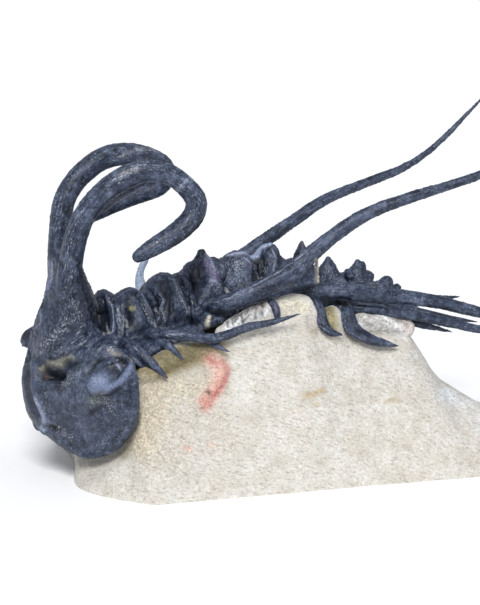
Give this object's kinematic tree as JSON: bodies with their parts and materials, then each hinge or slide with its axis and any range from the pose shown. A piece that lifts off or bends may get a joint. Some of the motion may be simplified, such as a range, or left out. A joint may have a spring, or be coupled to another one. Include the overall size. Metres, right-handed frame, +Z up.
{
  "type": "dicranurus trilobite fossil on matrix",
  "caption": "Spiny trilobite fossil with coiled horns above its head and long swept spines, standing free of a pale limestone block with a flat base.",
  "frame": {"origin": "on the flat base under the rock, below the thorax", "axes": "+X from the head towards the tail spines, +Z up from the base"},
  "size_m": [0.0568, 0.0358, 0.0359],
  "materials": {
    "fossil_shell": "satin blue-black calcite shell, finely granular",
    "limestone": "matt cream limestone, finely speckled"
  },
  "bodies": {
    "root": {"limestone_matrix": "limestone", "cephalon": "fossil_shell", "thoracic_segment_1": "fossil_shell", "thoracic_segment_2": "fossil_shell", "thoracic_segment_3": "fossil_shell", "thoracic_segment_4": "fossil_shell", "thoracic_segment_5": "fossil_shell", "thoracic_segment_6": "fossil_shell", "thoracic_segment_7": "fossil_shell", "thoracic_segment_8": "fossil_shell", "thoracic_segment_9": "fossil_shell", "pygidium": "fossil_shell"}
  },
  "joints": []
}
